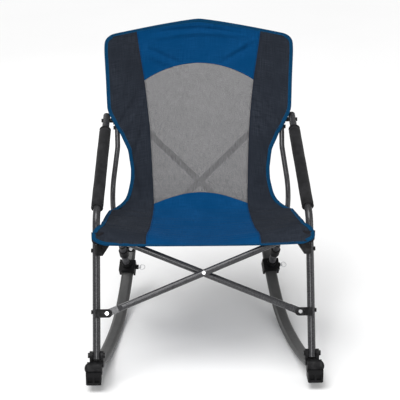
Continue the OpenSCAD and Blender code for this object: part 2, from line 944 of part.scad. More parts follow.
// A closed sheet over the sling between two rows and two columns, each given as a function
module fabric_panel(s_from, s_to, x_from, x_to, thick, rows, cols) {
    grid = [
        for (i = [0 : rows], j = [0 : cols])
            let (s = mix(s_from(j / cols), s_to(j / cols), i / rows))
            [s, mix(x_from(s), x_to(s), j / cols)]
    ];
    face = [for (g = grid) sling(g[0], g[1]) + thick / 2 * sling_normal(g[0], g[1])];
    back = [for (g = grid) sling(g[0], g[1]) - thick / 2 * sling_normal(g[0], g[1])];
    n = len(grid);
    wide = cols + 1;
    last = rows * wide;
    polyhedron(
        concat(face, back),
        concat(
            [for (i = [0 : rows - 1], j = [0 : cols - 1]) let (a = i * wide + j)
                each [[a, a + 1, a + wide + 1], [a, a + wide + 1, a + wide]]],
            [for (i = [0 : rows - 1], j = [0 : cols - 1]) let (a = n + i * wide + j)
                each [[a, a + wide + 1, a + 1], [a, a + wide, a + wide + 1]]],
            [for (j = [0 : cols - 1]) each [[j, n + j + 1, j + 1], [j, n + j, n + j + 1]]],
            [for (j = [0 : cols - 1]) let (a = last + j)
                each [[a, a + 1, n + a + 1], [a, n + a + 1, n + a]]],
            [for (i = [0 : rows - 1]) let (a = i * wide)
                each [[a, a + wide, n + a + wide], [a, n + a + wide, n + a]]],
            [for (i = [0 : rows - 1]) let (a = i * wide + cols)
                each [[a, n + a + wide, a + wide], [a, n + a, n + a + wide]]]
        ),
        convexity = 6
    );
}

butt = 0.3;             // half the gap between two panels, side by side
function mesh_top(w) = 120 + 35 * pow(abs(2 * w - 1), 2);
function mesh_low(w) = 500 + 36 * pow(abs(2 * w - 1), 2);
module middle_panel(s_from, s_to, thick, rows) {
    fabric_panel(s_from, s_to, function (s) -seam_x(s) + butt, function (s) seam_x(s) - butt, thick, rows, 12);
}

module top_panel() {
    color("#0f4d80")
        middle_panel(function (w) binding_w + butt, function (w) mesh_top(w) - butt, fabric_t, 8);
}

module mesh_panel() {
    color("#8f8d90")
        middle_panel(function (w) mesh_top(w) + butt, function (w) mesh_low(w) - butt, mesh_t, 16);
}

module seat_panel() {
    color("#0b5690")
        middle_panel(function (w) mesh_low(w) + butt, function (w) sling_end - binding_w - butt, fabric_t, 14);
}

module side_panel(side) {
    color("#34343a")
        on_side(side)
            fabric_panel(
                function (w) binding_w + butt, function (w) sling_end - binding_w - butt,
                function (s) seam_x(s) + butt, function (s) half_width(s) - binding_w - butt,
                fabric_t, side_rows, 5
            );
}

// Stations round the sling's rim, each an outer and an inner [s, x]
function rim_side(side, k) =
    let (s = mix(0, sling_end, k), t = mix(binding_w, sling_end - binding_w, k))
    [[s, side * half_width(s)], [t, side * (half_width(t) - binding_w)]];
function rim_row(s, t, w) = [[s, w * half_width(s)], [t, w * (half_width(t) - binding_w)]];
side_rows = 48;
end_cols = 28;

// Tape all round the sling, as one closed loop
module binding() {
    rim = [
        for (i = [0 : side_rows - 1]) rim_side(RIGHT, i / side_rows),
        for (i = [0 : end_cols - 1]) rim_row(sling_end, sling_end - binding_w, 1 - 2 * i / end_cols),
        for (i = [0 : side_rows - 1]) rim_side(LEFT, 1 - i / side_rows),
        for (i = [0 : end_cols - 1]) rim_row(0, binding_w, 2 * i / end_cols - 1)
    ];
    count = len(rim);
    points = [
        for (pair = rim, turn = [[0, 1], [0, -1], [1, -1], [1, 1]])
            let (g = pair[turn[0]])
            sling(g[0], g[1]) + turn[1] * binding_t / 2 * sling_normal(g[0], g[1])
    ];
    color("#0d4a7c")
        polyhedron(
            points,
            [
                for (i = [0 : count - 1], k = [0 : 3])
                    let (a = 4 * i, b = 4 * ((i + 1) % count), m = (k + 1) % 4)
                    each [[a + k, b + k, b + m], [a + k, b + m, a + m]]
            ],
            convexity = 6
        );
}

// Pocket over the upright's top
module upright_sleeve(side) {
    length = 170;
    outer = bar_d + 3;
    color("#26262a")
        on_side(side)
            place(upright_top - length * upright_dir, upright_dir) {
                ring(outer, bar_d + 0.6, length + 0.5);
                translate([0, 0, length + 0.5])
                    cylinder(d = outer, h = 2);
            }
}

// Pocket under the seat's front corner, in front of the leg
module corner_pocket(side) {
    color("#1d1e22")
        on_side(side)
            front_plane()
                translate([leg_x - 22, 300, leg_d / 2 + 8])
                    cube([34, 42, 2]);
}

// Webbing from the front leg back to the rear leg, under the seat's edge
module seat_strap(side) {
    tall = 20;
    thick = 2;
    a = [leg_x - leg_d / 2 - 2.4, foot_y + 160, 414];
    b = [rear_seat[0] - rear_leg_d / 2 - 1.6, foot_y + 426, 370];
    color("#1d1e22")
        on_side(side)
            // A level band, sheared inwards and down towards the back
            multmatrix([
                [1, (b[0] - a[0]) / (b[1] - a[1]), 0, a[0]],
                [0, 1, 0, a[1]],
                [0, (b[2] - a[2]) / (b[1] - a[1]), 1, a[2]],
                [0, 0, 0, 1]
            ])
                translate([-thick / 2, 0, -tall / 2])
                    cube([thick, b[1] - a[1], tall]);
}

leg_arm_tube(LEFT);  // leg_arm_tube_left
leg_arm_tube(RIGHT);  // leg_arm_tube_right
arm_foam(LEFT);  // arm_foam_left
arm_foam(RIGHT);  // arm_foam_right
arm_plug(LEFT);  // arm_plug_left
arm_plug(RIGHT);  // arm_plug_right
back_upright(LEFT);  // back_upright_left
back_upright(RIGHT);  // back_upright_right
rear_leg(LEFT);  // rear_leg_left
rear_leg(RIGHT);  // rear_leg_right
rear_ferrule(LEFT);  // rear_ferrule_left
rear_ferrule(RIGHT);  // rear_ferrule_right
front_lower_bracket(LEFT);  // front_lower_bracket_left
front_lower_bracket(RIGHT);  // front_lower_bracket_right
front_cradle(LEFT);  // front_cradle_left
front_cradle(RIGHT);  // front_cradle_right
rear_lower_bracket(LEFT);  // rear_lower_bracket_left
rear_lower_bracket(RIGHT);  // rear_lower_bracket_right
rear_upper_bracket(LEFT);  // rear_upper_bracket_left
rear_upper_bracket(RIGHT);  // rear_upper_bracket_right
frame_bolts(LEFT);  // frame_bolts_left
frame_bolts(RIGHT);  // frame_bolts_right
pivot_rivets(LEFT);  // pivot_rivets_left
pivot_rivets(RIGHT);  // pivot_rivets_right
seat_strap(LEFT);  // seat_strap_left
seat_strap(RIGHT);  // seat_strap_right
upright_sleeve(LEFT);  // upright_sleeve_left
upright_sleeve(RIGHT);  // upright_sleeve_right
corner_pocket(LEFT);  // corner_pocket_left
corner_pocket(RIGHT);  // corner_pocket_right
rocker_rail(LEFT);  // rocker_rail_left
rocker_rail(RIGHT);  // rocker_rail_right
foot_block(LEFT);  // foot_block_left
foot_block(RIGHT);  // foot_block_right
foot_pin(LEFT);  // foot_pin_left
foot_pin(RIGHT);  // foot_pin_right
foot_pad(LEFT);  // foot_pad_left
foot_pad(RIGHT);  // foot_pad_right
tail_plug(LEFT);  // tail_plug_left
tail_plug(RIGHT);  // tail_plug_right
rear_collar(LEFT);  // rear_collar_left
rear_collar(RIGHT);  // rear_collar_right
lock_plunger(LEFT);  // lock_plunger_left
lock_plunger(RIGHT);  // lock_plunger_right
pull_ring(LEFT);  // pull_ring_left
pull_ring(RIGHT);  // pull_ring_right
front_bar(LEFT);  // front_bar_a
front_bar(RIGHT);  // front_bar_b
front_bar_pin(LEFT);  // front_bar_pin_a
front_bar_pin(RIGHT);  // front_bar_pin_b
front_crossing_rivet();
rear_bar(LEFT);  // rear_bar_c
rear_bar(RIGHT);  // rear_bar_d
rear_crossing_rivet();
top_panel();
mesh_panel();
seat_panel();
side_panel(LEFT);  // side_panel_left
side_panel(RIGHT);  // side_panel_right
binding();
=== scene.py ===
import json
import math

import bpy
import numpy as np
from mathutils import Matrix, Vector


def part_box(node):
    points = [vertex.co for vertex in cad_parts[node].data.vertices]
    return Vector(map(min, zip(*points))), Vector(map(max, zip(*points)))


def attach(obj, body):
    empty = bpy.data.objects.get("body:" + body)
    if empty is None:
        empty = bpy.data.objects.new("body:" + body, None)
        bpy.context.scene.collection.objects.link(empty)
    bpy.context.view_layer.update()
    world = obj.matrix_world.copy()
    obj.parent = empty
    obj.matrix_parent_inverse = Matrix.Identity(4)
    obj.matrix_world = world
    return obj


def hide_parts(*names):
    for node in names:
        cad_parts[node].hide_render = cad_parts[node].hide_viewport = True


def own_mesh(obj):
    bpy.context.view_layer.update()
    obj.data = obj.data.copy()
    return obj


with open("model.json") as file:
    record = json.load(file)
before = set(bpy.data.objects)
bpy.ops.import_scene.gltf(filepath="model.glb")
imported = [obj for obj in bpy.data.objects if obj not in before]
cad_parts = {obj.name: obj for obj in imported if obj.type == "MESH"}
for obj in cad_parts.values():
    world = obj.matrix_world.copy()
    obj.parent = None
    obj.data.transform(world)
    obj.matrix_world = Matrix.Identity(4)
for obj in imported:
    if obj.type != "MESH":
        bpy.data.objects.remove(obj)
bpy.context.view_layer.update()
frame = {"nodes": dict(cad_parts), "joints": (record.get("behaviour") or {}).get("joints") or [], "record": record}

MM = 0.001
LEFT, RIGHT = -1, 1
NODES = frame["nodes"]
SIDE_NAME = {LEFT: "left", RIGHT: "right"}
TURN = 2 * math.pi


def joint(name):
    return next(j for j in frame["joints"] if j["name"] == name)


# The foot pins' place; the sling's table is measured back from it
FOOT = Vector(joint("left_rail_fold")["pos_m"])
FOOT_Y = FOOT.y

# ---------------------------------------------------------------- camera, light, floor


def make_camera():
    elevation = math.radians(20)
    azimuth = math.radians(1.45)
    distance, above, aside = 3.6, 0.436, 0.0127
    forward = Vector((
        math.sin(azimuth) * math.cos(elevation),
        math.cos(azimuth) * math.cos(elevation),
        -math.sin(elevation),
    ))
    right = Vector((math.cos(azimuth), -math.sin(azimuth), 0))
    up = right.cross(forward)
    data = bpy.data.cameras.new("camera")
    data.sensor_width = 36
    data.lens = 114.5
    cam = bpy.data.objects.new("camera", data)
    place = Vector((0, FOOT.y, FOOT.z)) - distance * forward + above * up - aside * right
    turn = Matrix((right, up, -forward)).transposed().to_4x4()
    cam.matrix_world = Matrix.Translation(place) @ turn
    bpy.context.scene.collection.objects.link(cam)
    bpy.context.scene.camera = cam


def area_light(name, place, target, size, watts, size_y=None):
    data = bpy.data.lights.new(name, "AREA")
    data.energy = watts
    data.size = size
    if size_y:
        data.shape = "RECTANGLE"
        data.size_y = size_y
    lamp = bpy.data.objects.new(name, data)
    lamp.location = place
    lamp.rotation_euler = (Vector(target) - Vector(place)).to_track_quat("-Z", "Y").to_euler()
    bpy.context.scene.collection.objects.link(lamp)


def make_studio():
    # A broad overhead softbox, far enough away to light the whole floor evenly
    data = bpy.data.lights.new("overhead", "SUN")
    data.energy = 2.3
    data.angle = math.radians(40)
    lamp = bpy.data.objects.new("overhead", data)
    lamp.rotation_euler = (math.radians(17), math.radians(-14), 0)
    bpy.context.scene.collection.objects.link(lamp)
    area_light("front_strip", (-0.5, -3.4, 1.7), (0, 0, 0.5), 0.4, 34, 1.8)
    area_light("side_strip", (2.6, -1.2, 1.4), (0, 0, 0.5), 0.6, 10, 1.6)
    area_light("back_strip", (-1.4, 2.6, 1.9), (0, 0, 0.6), 0.8, 14, 1.4)
    world = bpy.data.worlds.new("studio")
    world.use_nodes = True
    sky = world.node_tree.nodes["Background"]
    sky.inputs["Color"].default_value = (1, 1, 1, 1)
    sky.inputs["Strength"].default_value = 0.42
    bpy.context.scene.world = world
    bpy.context.scene.view_settings.view_transform = "Standard"

    size = 14
    corners = [(-size, -size, 0), (size, -size, 0), (size, size, 0), (-size, size, 0)]
    mesh = bpy.data.meshes.new("floor")
    mesh.from_pydata(corners, [], [(0, 1, 2, 3)])
    floor = bpy.data.objects.new("floor", mesh)
    floor.location.z = -0.5 * MM  # just under the rails
    bpy.context.scene.collection.objects.link(floor)
    floor.data.materials.append(floor_material())


# ---------------------------------------------------------------- materials


class Look:
    """A principled material with short ways to add nodes to it."""

    def __init__(self, name, colour, roughness, metallic=0.0, specular=0.5):
        self.mat = bpy.data.materials.new(name)
        self.mat.use_nodes = True
        self.nodes = self.mat.node_tree.nodes
        self.links = self.mat.node_tree.links
        self.shader = self.nodes["Principled BSDF"]
        self.set("Base Color", (*colour, 1))
        self.set("Roughness", roughness)
        self.set("Metallic", metallic)
        self.set("Specular IOR Level", specular)
        self.height = None

    def set(self, socket, value):
        self.shader.inputs[socket].default_value = value

    def add(self, kind, **values):
        node = self.nodes.new(kind)
        for key, value in values.items():
            if key in node.inputs:
                node.inputs[key].default_value = value
            else:
                setattr(node, key, value)
        return node

    def link(self, source, target):
        self.links.new(source, target)
        return source

    def math(self, operation, a, b=None):
        node = self.add("ShaderNodeMath", operation=operation)
        for k, value in enumerate((a, b)):
            if value is None:
                continue
            if isinstance(value, (int, float)):
                node.inputs[k].default_value = value
            else:
                self.link(value, node.inputs[k])
        return node.outputs[0]

    def coords(self):
        return self.add("ShaderNodeTexCoord").outputs["Object"]

    def noise(self, scale, detail=3, where=None, stretch=None):
        source = where or self.coords()
        if stretch:
            mapping = self.add("ShaderNodeMapping")
            mapping.inputs["Scale"].default_value = stretch
            self.link(source, mapping.inputs["Vector"])
            source = mapping.outputs[0]
        node = self.add("ShaderNodeTexNoise", Scale=scale, Detail=detail)
        self.link(source, node.inputs["Vector"])
        return node.outputs["Fac"]

    def remap(self, value, low, high, to_low=0.0, to_high=1.0):
        node = self.add("ShaderNodeMapRange")
        self.link(value, node.inputs["Value"])
        node.inputs["From Min"].default_value = low
        node.inputs["From Max"].default_value = high
        node.inputs["To Min"].default_value = to_low
        node.inputs["To Max"].default_value = to_high
        return node.outputs[0]

    def mix(self, factor, a, b):
        """A colour between a and b, each a colour or a socket."""
        node = self.add("ShaderNodeMix", data_type="RGBA")
        self.link(factor, node.inputs["Factor"])
        for key, value in ((6, a), (7, b)):
            if isinstance(value, tuple):
                node.inputs[key].default_value = (*value, 1)
            else:
                self.link(value, node.inputs[key])
        return node.outputs[2]

    def colour(self, socket):
        self.link(socket, self.shader.inputs["Base Color"])

    def roughness(self, socket):
        self.link(socket, self.shader.inputs["Roughness"])

    def bump(self, height, strength, distance):
        node = self.add("ShaderNodeBump", Strength=strength, Distance=distance)
        self.link(height, node.inputs["Height"])
        if self.height is not None:
            self.link(self.height, node.inputs["Normal"])
        self.height = node.outputs[0]
        self.link(self.height, self.shader.inputs["Normal"])

    def edge_wear(self, base, worn, low=0.53, high=0.6):
        """Lighter along sharp edges, broken up by noise."""
        edges = self.remap(self.add("ShaderNodeNewGeometry").outputs["Pointiness"], low, high)
        patchy = self.remap(self.noise(90, 4), 0.45, 0.7)
        return self.mix(self.math("MULTIPLY", edges, patchy), base, worn)


def floor_material():
    look = Look("floor", (0.9, 0.9, 0.9), 0.7)
    look.colour(look.mix(look.noise(1.5), (0.89, 0.89, 0.89), (0.92, 0.92, 0.92)))
    return look.mat


def powder_coat(name, dark, light, roughness):
    """Satin powder coat: a metallic grey with fine orange peel."""
    look = Look(name, dark, roughness, metallic=0.3, specular=0.5)
    tint = look.mix(look.remap(look.noise(35, 5), 0.3, 0.7), dark, light)
    look.colour(look.edge_wear(tint, tuple(min(1, c * 1.6) for c in light), 0.56, 0.66))
    look.roughness(look.remap(look.noise(220, 4), 0.2, 0.8, roughness - 0.06, roughness + 0.08))
    look.bump(look.noise(900, 2), 0.12, 0.0004)
    look.bump(look.noise(2600, 2), 0.1, 0.0002)
    return look.mat


def moulded_plastic(name, colour, roughness=0.5):
    look = Look(name, colour, roughness, specular=0.12)
    light = tuple(c * 2.2 + 0.01 for c in colour)
    tint = look.mix(look.remap(look.noise(60, 4), 0.3, 0.7), colour, tuple(c * 1.35 for c in colour))
    look.colour(look.edge_wear(tint, light))
    look.roughness(look.remap(look.noise(300, 3), 0.2, 0.8, roughness - 0.07, roughness + 0.1))
    look.bump(look.noise(1600, 3), 0.25, 0.0003)
    return look.mat


def zinc():
    look = Look("zinc", (0.62, 0.63, 0.64), 0.28, metallic=1.0)
    look.colour(look.mix(look.noise(180, 5), (0.5, 0.51, 0.52), (0.72, 0.72, 0.73)))
    look.roughness(look.remap(look.noise(400, 4), 0.2, 0.8, 0.2, 0.42))
    look.bump(look.noise(1200, 2), 0.12, 0.0002)
    return look.mat


def foam():
    """Closed-cell foam: near black, with fine pores and a faint bloom."""
    look = Look("foam", (0.014, 0.014, 0.015), 0.85, specular=0.15)
    bloom = look.remap(look.noise(45, 5), 0.35, 0.7)
    look.colour(look.mix(bloom, (0.009, 0.009, 0.01), (0.02, 0.02, 0.022)))
    cells = look.add("ShaderNodeTexVoronoi", Scale=700)
    look.link(look.coords(), cells.inputs["Vector"])
    look.bump(cells.outputs["Distance"], 0.35, 0.0005)
    look.bump(look.noise(60, 3), 0.25, 0.002)
    look.set("Sheen Weight", 0.06)
    look.set("Sheen Roughness", 0.5)
    return look.mat


def threads(look, pitch):
    """The cloth's own coordinates, and a wave for each set of threads: across and along, -1 to 1."""
    cloth = look.add("ShaderNodeAttribute", attribute_name="cloth").outputs["Vector"]
    split = look.add("ShaderNodeSeparateXYZ")
    look.link(cloth, split.inputs[0])
    turns = TURN / pitch
    across = look.math("SINE", look.math("MULTIPLY", split.outputs["X"], turns))
    along = look.math("SINE", look.math("MULTIPLY", split.outputs["Y"], turns))
    return cloth, across, along


def woven(name, colour, pitch=0.0011, contrast=0.5):
    """Plain-weave polyester: threads over and under with painted shade in the weave's low dips, uneven dye and a
    soft sheen.
    """
    look = Look(name, colour, 0.92, specular=0.05)
    cloth, across, along = threads(look, pitch)
    weave = look.math("MULTIPLY", across, along)
    dark = tuple(c * (1 - contrast * 0.5) for c in colour)
    light = tuple(min(1, c * (1 + contrast * 0.5) + 0.004) for c in colour)
    slub = look.noise(420, 3, cloth, (1, 0.06, 1))
    cross_slub = look.noise(420, 3, cloth, (0.06, 1, 1))
    thread_tone = look.math("MULTIPLY", look.math("ADD", slub, cross_slub), 0.5)
    tint = look.mix(look.remap(thread_tone, 0.38, 0.62), dark, light)
    cloudy = look.remap(look.noise(14, 4, cloth), 0.3, 0.7)
    # Painted shade: in cloudy patches, the weave's low dips (where the bump sinks) are coloured darker
    tint = look.mix(cloudy, tint, look.mix(look.remap(weave, -1, 1), dark, colour))
    look.colour(tint)
    look.bump(weave, 0.35, 0.0003)
    look.bump(thread_tone, 0.3, 0.0004)
    look.set("Sheen Weight", 0.02)
    look.set("Sheen Roughness", 0.4)
    return look.mat


def open_mesh(name, colour):
    """Open woven mesh: a thread grid with real holes, so what is behind shows through."""
    pitch, open_share, softness = 0.0024, 0.33, 0.15
    look = Look(name, colour, 0.85, specular=0.1)
    cloth, across, along = threads(look, pitch)
    # The sine is above this level over open_share of each period
    level = math.cos(math.pi * open_share)
    hole = look.math(
        "MULTIPLY",
        look.remap(across, level - softness, level + softness),
        look.remap(along, level - softness, level + softness),
    )
    tone = look.remap(look.noise(500, 3, cloth, (1, 0.1, 1)), 0.35, 0.65)
    dark, light = (tuple(c * k for c in colour) for k in (0.8, 1.25))
    look.colour(look.mix(tone, dark, light))
    look.link(look.math("SUBTRACT", 1.0, hole), look.shader.inputs["Alpha"])
    look.bump(look.math("MAXIMUM", across, along), 0.4, 0.0004)
    look.set("Sheen Weight", 0.04)
    return look.mat


def make_materials():
    """One look for each of the record's material slots, and two for the threads."""
    return {
        "frame_coat": powder_coat("frame_coat", (0.032, 0.032, 0.035), (0.045, 0.045, 0.048), 0.26),
        "rail_coat": powder_coat("rail_coat", (0.062, 0.062, 0.062), (0.08, 0.08, 0.079), 0.42),
        "foam": foam(),
        "plug_plastic": moulded_plastic("plug_plastic", (0.035, 0.035, 0.038), 0.45),
        "ferrule_plastic": moulded_plastic("ferrule_plastic", (0.04, 0.04, 0.043), 0.4),
        "bracket_plastic": moulded_plastic("bracket_plastic", (0.006, 0.006, 0.0065)),
        "pad_rubber": moulded_plastic("pad_rubber", (0.012, 0.012, 0.012), 0.75),
        "zinc": zinc(),
        "black_steel": moulded_plastic("black_steel", (0.008, 0.008, 0.008), 0.3),
        "blue_fabric": woven("blue_fabric", (0.0004, 0.05, 0.155), contrast=0.4),
        "charcoal_fabric": woven("charcoal_fabric", (0.02, 0.0245, 0.034), contrast=0.7),
        "mesh": open_mesh("mesh", (0.14, 0.139, 0.143)),
        "binding_tape": woven("binding_tape", (0.002, 0.042, 0.105), pitch=0.0014),
        "webbing": woven("webbing", (0.012, 0.012, 0.015), pitch=0.002),
        "pocket_fabric": woven("pocket_fabric", (0.016, 0.016, 0.02)),
        "thread_blue": woven("thread_blue", (0.012, 0.12, 0.3), pitch=0.0006),
        "thread_dark": woven("thread_dark", (0.012, 0.014, 0.03), pitch=0.0006),
    }


def dress_cad_nodes():
    slot_of = {p["node"]: p["material_slot"] for p in frame["record"]["subparts"]}
    for name, obj in NODES.items():
        obj.data.materials.clear()
        obj.data.materials.append(LOOKS[slot_of[name]])


# ---------------------------------------------------------------- the sling's surface
# s runs down the back and forward along the seat, x across, both in millimetres.

SLING_END = 870
BINDING = 10            # how much of the edge the tape covers

# s, half width, y behind the foot pin, z: the side edge, as in the CAD model
EDGE = [
    (0, 268, 658, 872), (8, 284, 655, 865), (22, 292, 651, 850), (50, 293, 642, 821),
    (120, 289, 615, 744), (170, 287, 596, 691), (207, 285, 575, 656), (225, 279, 561, 642),
    (258, 262, 541, 616), (285, 247, 525, 595), (340, 221, 500, 546), (400, 212, 468, 497),
    (440, 213, 447, 465), (480, 221, 425, 433), (500, 228, 412, 418), (520, 242, 397, 405),
    (540, 262, 380, 399), (560, 277, 364, 398), (620, 285, 305, 404), (735, 288, 190, 430),
    (775, 290, 153, 437), (788, 294, 140, 439), (802, 303, 128, 437), (825, 313, 115, 427),
    (845, 317, 109, 412), (860, 309, 107, 400), (870, 284, 105, 390),
]
# s, y behind the foot pin, z: the middle
MIDDLE = [
    (0, 690, 913), (60, 674, 845), (120, 655, 780), (207, 622, 690), (285, 585, 612),
    (340, 555, 560), (400, 520, 505), (440, 494, 470), (480, 464, 438), (520, 430, 410),
    (560, 392, 392), (620, 333, 382), (735, 216, 379), (825, 130, 386), (870, 105, 386),
]
# s, x: the seam between the middle and the side panels
SEAM = [
    (0, 194), (40, 189), (95, 180), (155, 170), (210, 163), (290, 154), (420, 147),
    (536, 142), (620, 147), (735, 154), (795, 162), (870, 164),
]
# s, power: how late across each row the surface turns from the middle's place to the edge's
POWER = [(0, 1.2), (150, 2.2), (560, 2.2), (795, 1.6), (850, 1.6), (870, 3)]
STEP = 2.0              # between the rows of S_AXIS
S_AXIS = np.arange(0, SLING_END + STEP, STEP)


def smooth_column(table, column, reach=9):
    """A table's column over S_AXIS, with its corners rounded over about 2 * reach millimetres."""
    values = np.interp(S_AXIS, [row[0] for row in table], [row[column] for row in table])
    half = int(3 * reach / STEP)
    weights = np.exp(-0.5 * (np.arange(-half, half + 1) * STEP / reach) ** 2)
    head = 2 * values[0] - values[half:0:-1]
    tail = 2 * values[-1] - values[-2 : -half - 2 : -1]
    return np.convolve(np.concatenate([head, values, tail]), weights / weights.sum(), "valid")


EDGE_X = smooth_column(EDGE, 1, 5)
EDGE_Y, EDGE_Z = smooth_column(EDGE, 2, 12), smooth_column(EDGE, 3, 12)
MIDDLE_Y, MIDDLE_Z = smooth_column(MIDDLE, 1, 16), smooth_column(MIDDLE, 2, 16)
SEAM_X = smooth_column(SEAM, 1, 14)
ROW_POWER = smooth_column(POWER, 1, 20)


def along(column, s):
    return np.interp(s, S_AXIS, column)


def half_width(s):
    return along(EDGE_X, s)


def seam_x(s):
    return along(SEAM_X, s)


def sling(s, x):
    """Points of the sling's surface, in metres."""
    share = np.minimum(1.0, np.abs(x) / half_width(s)) ** along(ROW_POWER, s)
    y = FOOT_Y / MM + along(MIDDLE_Y, s) * (1 - share) + along(EDGE_Y, s) * share
    z = along(MIDDLE_Z, s) * (1 - share) + along(EDGE_Z, s) * share
    return np.stack([x + 0 * s, y, z], -1) * MM


def sling_normal(s, x):
    """Unit normals towards the sitter."""
    down = sling(np.minimum(s + 4, SLING_END), x) - sling(np.maximum(s - 4, 0), x)
    across = sling(s, x + 3) - sling(s, x - 3)
    normal = np.cross(down, across)
    return normal / np.linalg.norm(normal, axis=-1, keepdims=True)


def fold(s, x, at, angle, length, width, depth):
    """A single soft fold centred on at = (s, x), lying at an angle to the x axis."""
    turn = math.radians(angle)
    u = (x - at[1]) * math.cos(turn) + (s - at[0]) * math.sin(turn)
    v = (s - at[0]) * math.cos(turn) - (x - at[1]) * math.sin(turn)
    return depth * np.exp(-((v / width) ** 2)) * np.exp(-((u / length) ** 4))


def ripples(s, x, wave_s, wave_x, seed):
    """Gentle uneven waves, about -1 to 1, with these wavelengths along s and x."""
    count = 7
    rng = np.random.default_rng(seed)
    total = 0 * (s + x)
    for _ in range(count):
        ks = TURN / wave_s * rng.uniform(0.5, 1.5)
        kx = TURN / wave_x * rng.uniform(-1.2, 1.2)
        total = total + np.sin(ks * s + kx * x + rng.uniform(0, TURN))
    return total / math.sqrt(count) / 1.4


def back_weight(s):
    """1 on the back, 0 on the seat."""
    return 1 / (1 + np.exp((s - 470) / 25))


# at (s, x), angle, length, width, depth: the top panel's folds; a negative depth is a hollow
TOP_FOLDS = [
    ((24, -10), 1, 110, 5, -3.2), ((37, 0), -1, 130, 7, 2.6),
    ((95, -105), 28, 55, 7, -2.6), ((108, -112), 28, 60, 9, 2.2),
    ((84, 120), -34, 60, 7, -2.8), ((70, 128), -34, 55, 8, 2.0),
    ((62, 150), -60, 40, 6, -1.8),
]
# The same for the right side panel's; the left panel's are their mirror images
SIDE_FOLDS = [
    ((235, 225), 52, 60, 9, -3.0), ((262, 215), 48, 60, 10, 2.4),
    ((330, 190), 70, 60, 9, -2.2),
    ((430, 186), -80, 70, 10, -2.4), ((452, 200), -74, 50, 8, 1.6),
    ((560, 215), -24, 70, 9, -3.0), ((585, 222), -18, 80, 10, 2.2),
    ((770, 262), 20, 45, 8, -2.4),
    ((140, 235), 80, 70, 12, 1.6),
]


def relief(s, x):
    """How far the cloth stands off its smooth surface, in millimetres."""
    back = back_weight(s)
    total = 0.8 * ripples(s, x, 160, 220, 1) * back
    for at, angle, length, width, depth in TOP_FOLDS:
        total = total + fold(s, x, at, angle, length, width, depth)
    for side in (LEFT, RIGHT):
        for at, angle, length, width, depth in SIDE_FOLDS:
            total = total + fold(s, x, (at[0], side * at[1]), side * angle, length, width, depth)
    # The back's creases are deeper than the seat's
    total = total * (1 + 0.6 * back)
    # Tension lines across the seat
    seat = 1 - back
    total = total + seat * 0.55 * ripples(s, x, 22, 420, 3)
    total = total + seat * 0.9 * ripples(s, x, 75, 700, 4)
    return total


# ---------------------------------------------------------------- mesh pieces


def grid_object(name, points, cloth, look, closed=False):
    """A smooth quad grid from points[row, column], with the cloth's own coordinates as an attribute."""
    rows, cols = points.shape[:2]
    index = np.arange(rows * cols).reshape(rows, cols)
    if closed:
        index = np.concatenate([index, index[:, :1]], 1)
    faces = np.stack([index[:-1, :-1], index[:-1, 1:], index[1:, 1:], index[1:, :-1]], -1)
    mesh = bpy.data.meshes.new(name)
    mesh.from_pydata(points.reshape(-1, 3).tolist(), [], faces.reshape(-1, 4).tolist())
    mesh.polygons.foreach_set("use_smooth", [True] * len(mesh.polygons))
    store = mesh.attributes.new("cloth", "FLOAT_VECTOR", "POINT")
    flat = np.zeros((rows * cols, 3))
    flat[:, :2] = cloth.reshape(-1, 2) * MM
    store.data.foreach_set("vector", flat.ravel())
    mesh.materials.append(LOOKS[look])
    mesh.update()
    obj = bpy.data.objects.new(name, mesh)
    bpy.context.scene.collection.objects.link(obj)
    return obj


def thicken(obj, thickness):
    modifier = obj.modifiers.new("thickness", "SOLIDIFY")
    modifier.thickness = thickness
    modifier.offset = 0
    return obj


def panel_grid(s_from, s_to, x_from, x_to, rows, cols):
    """(s, x) over a panel between two edges over w (0 to 1 across) and two seams over s."""
    w = np.linspace(0, 1, cols + 1)[None, :]
    u = np.linspace(0, 1, rows + 1)[:, None]
    s = s_from(w) * (1 - u) + s_to(w) * u
    x = x_from(s) * (1 - w) + x_to(s) * w
    return s, x


def cloth_panel(name, s, x, thickness, look):
    points = sling(s, x) + sling_normal(s, x) * (relief(s, x) * MM)[..., None]
    obj = grid_object(name, points, np.stack([x, s], -1), look)
    return thicken(obj, thickness)


def flat_size(s, x):
    """Width and length of a panel's cut with 1% for its hems, and its area, in metres."""
    points = sling(s, x)
    width = np.linalg.norm(np.diff(points, axis=1), axis=-1).sum(1).max()
    length = np.linalg.norm(np.diff(points, axis=0), axis=-1).sum(0).max()
    a = points[:-1, :-1] - points[1:, 1:]
    b = points[:-1, 1:] - points[1:, :-1]
    area = 0.5 * np.linalg.norm(np.cross(a, b), axis=-1).sum()
    return float(width) * 1.01, float(length) * 1.01, float(area)


def squash_with_fold(obj):
    """Gives the piece its own copy of its mesh."""
    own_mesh(obj)


# The mesh panel's arched upper and lower edges: s over w, 0 to 1 across the panel


def mesh_top(w):
    return 120 + 35 * (2 * w - 1) ** 2


def mesh_low(w):
    return 500 + 36 * (2 * w - 1) ** 2


